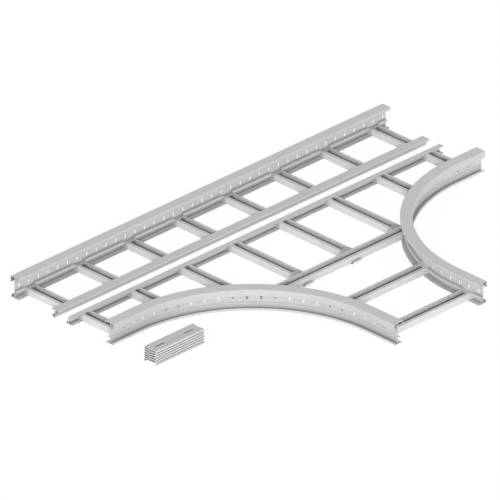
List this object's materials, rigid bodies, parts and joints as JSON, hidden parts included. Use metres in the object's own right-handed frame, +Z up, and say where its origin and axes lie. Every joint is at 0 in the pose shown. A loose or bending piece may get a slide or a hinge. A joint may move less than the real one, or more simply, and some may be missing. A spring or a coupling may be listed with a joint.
{
  "type": "cable ladder tee",
  "caption": "Cable ladder tee in galvanised sheet steel: two ladder halves with slotted side rails, bent branch rails, slotted rungs and a stack of splice plates.",
  "frame": {"origin": "middle of the plan of the parts as they lie, on the floor", "axes": "+X along the run, +Y from the branch to the back rail, +Z up; the branch points to -Y"},
  "size_m": [2.269, 1.485, 0.1049],
  "materials": {
    "galvanised_steel": "matt galvanised sheet"
  },
  "bodies": {
    "root": {"back_rail": "galvanised_steel", "back_joint_rail": "galvanised_steel", "back_rung_1": "galvanised_steel", "back_rung_2": "galvanised_steel", "back_rung_3": "galvanised_steel", "back_rung_4": "galvanised_steel", "back_rung_5": "galvanised_steel", "back_rung_6": "galvanised_steel", "back_rung_7": "galvanised_steel", "back_rung_8": "galvanised_steel", "bend_rail_left": "galvanised_steel", "bend_rail_right": "galvanised_steel", "front_joint_rail": "galvanised_steel", "front_rung_1": "galvanised_steel", "front_rung_2": "galvanised_steel", "front_rung_3": "galvanised_steel", "front_rung_4": "galvanised_steel", "front_rung_5": "galvanised_steel", "front_rung_6": "galvanised_steel", "front_rung_7": "galvanised_steel", "front_rung_8": "galvanised_steel", "cross_beam": "galvanised_steel", "branch_rung_inner": "galvanised_steel", "branch_rung_outer": "galvanised_steel", "splice_plate_1": "galvanised_steel", "splice_plate_2": "galvanised_steel", "splice_plate_3": "galvanised_steel", "splice_plate_4": "galvanised_steel", "splice_plate_5": "galvanised_steel", "splice_plate_6": "galvanised_steel"}
  },
  "joints": []
}
